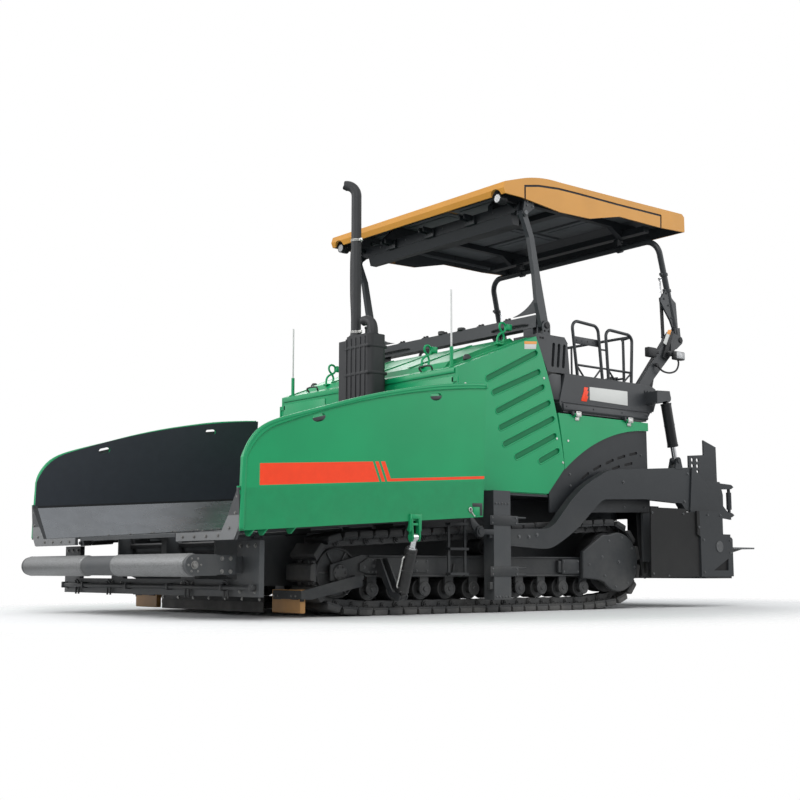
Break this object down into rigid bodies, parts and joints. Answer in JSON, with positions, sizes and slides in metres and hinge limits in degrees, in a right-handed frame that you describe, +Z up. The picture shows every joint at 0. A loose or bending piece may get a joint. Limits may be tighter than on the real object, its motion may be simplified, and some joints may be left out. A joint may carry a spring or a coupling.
{
  "type": "asphalt paver",
  "caption": "Tracked asphalt paver with a folding hopper, slat conveyors, a hood with side doors, a fold-down canopy, augers and a floating screed on tow arms.",
  "frame": {"origin": "on the ground under the middle of the machine's box", "axes": "+X forward towards the hopper, +Y to the machine's left, +Z up"},
  "size_m": [6.6, 3.38, 3.918],
  "materials": {
    "green_paint": "satin paint",
    "canopy_paint": "moulded roof shell",
    "frame_paint": "satin dark grey paint",
    "grey_paint": "satin mid grey paint",
    "cast_steel": "bare steel",
    "engine_block": "cast block",
    "roller_steel": "worn steel",
    "cylinder_paint": "black paint",
    "rod_chrome": "chromed rod",
    "scraper_plastic": "polyurethane",
    "apron_rubber": "rubber sheet",
    "exhaust_steel": "heat-resistant paint",
    "dark_plastic": "moulded",
    "seat_metal": "black paint",
    "seat_cover": "vinyl cover",
    "rail_paint": "satin paint",
    "lamp_glass": "clear lens"
  },
  "bodies": {
    "tractor": {"hood": "green_paint", "fenders": "green_paint", "main_frame": "frame_paint", "hopper_back": "frame_paint", "push_beam": "frame_paint", "canopy_beam": "frame_paint", "canopy_arms": "frame_paint", "auger_frame": "frame_paint", "platform": "frame_paint", "track_frames": "frame_paint", "ladders": "frame_paint", "side_consoles": "grey_paint", "drive_covers": "grey_paint", "track_left": "cast_steel", "track_right": "cast_steel", "track_wheels": "cast_steel", "conveyors": "cast_steel", "engine": "engine_block", "scraper_blocks": "scraper_plastic", "front_apron": "apron_rubber", "exhaust": "exhaust_steel", "control_console": "dark_plastic", "marker_rods": "dark_plastic", "seat_frames": "seat_metal", "seat_cushions": "seat_cover", "handrails": "rail_paint"},
    "wing_left": {"hopper_wing_left": "green_paint"},
    "wing_barrel_left": {"wing_barrel_left": "cylinder_paint"},
    "wing_stage_left": {"wing_stage_left": "cylinder_paint"},
    "wing_rod_left": {"wing_rod_left": "rod_chrome"},
    "push_roller_left": {"push_roller_left": "roller_steel"},
    "auger_left": {"auger_left": "cast_steel"},
    "side_door_left": {"side_door_left": "green_paint"},
    "side_flap_left": {"side_flap_left": "green_paint"},
    "wing_right": {"hopper_wing_right": "green_paint"},
    "wing_barrel_right": {"wing_barrel_right": "cylinder_paint"},
    "wing_stage_right": {"wing_stage_right": "cylinder_paint"},
    "wing_rod_right": {"wing_rod_right": "rod_chrome"},
    "push_roller_right": {"push_roller_right": "roller_steel"},
    "auger_right": {"auger_right": "cast_steel"},
    "side_door_right": {"side_door_right": "green_paint"},
    "side_flap_right": {"side_flap_right": "green_paint"},
    "screed": {"screed": "grey_paint", "screed_ends": "grey_paint", "tow_arms": "grey_paint", "walkway": "roller_steel"},
    "lift_barrels": {"lift_barrels": "cylinder_paint"},
    "lift_rods": {"lift_rods": "rod_chrome"},
    "rear_hoop": {"rear_hoop": "frame_paint"},
    "canopy_roof": {"canopy_roof": "canopy_paint", "roof_frame": "frame_paint", "work_lamps": "lamp_glass"},
    "front_posts": {"front_posts": "frame_paint"},
    "strut_barrels": {"strut_barrels": "cylinder_paint"},
    "strut_rods": {"strut_rods": "rod_chrome"}
  },
  "joints": [
    {"name": "wing_lift_left", "type": "hinge", "parent": "tractor", "child": "wing_left", "pos_m": [1.5, 0.806, 0.67615], "axis": [0.9977, 0, -0.0675], "range_deg": [0, 46]},
    {"name": "wing_cylinder_swing_left", "type": "hinge", "parent": "tractor", "child": "wing_barrel_left", "pos_m": [1.46981, 1.47, 0.15002], "axis": [0.9977, 0, -0.0675], "range_deg": [-1, 25]},
    {"name": "wing_stage_slide_left", "type": "slide", "parent": "wing_barrel_left", "child": "wing_stage_left", "axis": [0.0624, 0.3842, 0.9212], "range_m": [0, 0.306]},
    {"name": "wing_rod_slide_left", "type": "slide", "parent": "wing_stage_left", "child": "wing_rod_left", "axis": [0.0624, 0.3842, 0.9212], "range_m": [0, 0.306]},
    {"name": "push_roller_spin_left", "type": "hinge", "parent": "tractor", "child": "push_roller_left", "pos_m": [3.219, 0.779, 0.384], "axis": [0, 1, 0], "continuous": true},
    {"name": "auger_spin_left", "type": "hinge", "parent": "tractor", "child": "auger_left", "pos_m": [-2, 0.626, 0.47], "axis": [0, 1, 0], "continuous": true},
    {"name": "side_door_swing_left", "type": "hinge", "parent": "tractor", "child": "side_door_left", "pos_m": [0.702, 1.294, 1.6], "axis": [0, 0, -1], "range_deg": [0, 85]},
    {"name": "side_flap_lift_left", "type": "hinge", "parent": "tractor", "child": "side_flap_left", "pos_m": [-1, 1.294, 1.744], "axis": [1, 0, 0], "range_deg": [0, 100]},
    {"name": "wing_lift_right", "type": "hinge", "parent": "tractor", "child": "wing_right", "pos_m": [1.5, -0.806, 0.67615], "axis": [-0.9977, 0, 0.0675], "range_deg": [0, 46]},
    {"name": "wing_cylinder_swing_right", "type": "hinge", "parent": "tractor", "child": "wing_barrel_right", "pos_m": [1.46981, -1.47, 0.15002], "axis": [-0.9977, 0, 0.0675], "range_deg": [-1, 25]},
    {"name": "wing_stage_slide_right", "type": "slide", "parent": "wing_barrel_right", "child": "wing_stage_right", "axis": [0.0624, -0.3842, 0.9212], "range_m": [0, 0.306]},
    {"name": "wing_rod_slide_right", "type": "slide", "parent": "wing_stage_right", "child": "wing_rod_right", "axis": [0.0624, -0.3842, 0.9212], "range_m": [0, 0.306]},
    {"name": "push_roller_spin_right", "type": "hinge", "parent": "tractor", "child": "push_roller_right", "pos_m": [3.219, -0.779, 0.384], "axis": [0, 1, 0], "continuous": true},
    {"name": "auger_spin_right", "type": "hinge", "parent": "tractor", "child": "auger_right", "pos_m": [-2, -0.626, 0.47], "axis": [0, 1, 0], "continuous": true},
    {"name": "side_door_swing_right", "type": "hinge", "parent": "tractor", "child": "side_door_right", "pos_m": [0.702, -1.294, 1.6], "axis": [0, 0, 1], "range_deg": [0, 85]},
    {"name": "side_flap_lift_right", "type": "hinge", "parent": "tractor", "child": "side_flap_right", "pos_m": [-1, -1.294, 1.744], "axis": [-1, 0, 0], "range_deg": [0, 100]},
    {"name": "screed_lift", "type": "hinge", "parent": "tractor", "child": "screed", "pos_m": [0.3, 0, 0.622], "axis": [0, 1, 0], "range_deg": [-5, 1.5]},
    {"name": "lift_cylinder_swing", "type": "hinge", "parent": "tractor", "child": "lift_barrels", "pos_m": [-1.93, 0, 1.985], "axis": [0, -1, 0], "range_deg": [-1.5, 0.6]},
    {"name": "lift_rod_slide", "type": "slide", "parent": "lift_barrels", "child": "lift_rods", "axis": [-0.2141, 0, -0.9768], "range_m": [-0.07, 0.22]},
    {"name": "canopy_fold", "type": "hinge", "parent": "tractor", "child": "rear_hoop", "pos_m": [-2.35, 0, 2.62], "axis": [0, -1, 0], "range_deg": [0, 98]},
    {"name": "canopy_roof_level", "type": "hinge", "parent": "rear_hoop", "child": "canopy_roof", "pos_m": [-2.1, 0, 3.62], "axis": [0, -1, 0], "range_deg": [-98, 0]},
    {"name": "canopy_post_fold", "type": "hinge", "parent": "tractor", "child": "front_posts", "pos_m": [-0.43, 0, 2.53], "axis": [0, -1, 0], "range_deg": [0, 98]},
    {"name": "strut_swing", "type": "hinge", "parent": "tractor", "child": "strut_barrels", "pos_m": [-2.22, 0, 2.62], "axis": [0, -1, 0], "range_deg": [0, 90]},
    {"name": "strut_rod_slide", "type": "slide", "parent": "strut_barrels", "child": "strut_rods", "axis": [0.0403, 0, 0.9992], "range_m": [0, 0.17]}
  ],
  "couplings": [
    {"joint": "wing_cylinder_swing_left", "follows": "wing_lift_left", "ratio": 0.51364},
    {"joint": "wing_stage_slide_left", "follows": "wing_lift_left", "m_per_rad": 0.37741},
    {"joint": "wing_rod_slide_left", "follows": "wing_lift_left", "m_per_rad": 0.37741},
    {"joint": "wing_cylinder_swing_right", "follows": "wing_lift_right", "ratio": 0.51364},
    {"joint": "wing_stage_slide_right", "follows": "wing_lift_right", "m_per_rad": 0.37741},
    {"joint": "wing_rod_slide_right", "follows": "wing_lift_right", "m_per_rad": 0.37741},
    {"joint": "lift_cylinder_swing", "follows": "screed_lift", "ratio": 0.25},
    {"joint": "lift_rod_slide", "follows": "screed_lift", "m_per_rad": -2.4752},
    {"joint": "canopy_roof_level", "follows": "canopy_fold", "ratio": -1},
    {"joint": "canopy_post_fold", "follows": "canopy_fold", "ratio": 1},
    {"joint": "strut_swing", "follows": "canopy_fold", "ratio": 0.905},
    {"joint": "strut_rod_slide", "follows": "canopy_fold", "m_per_rad": 0.094538}
  ]
}
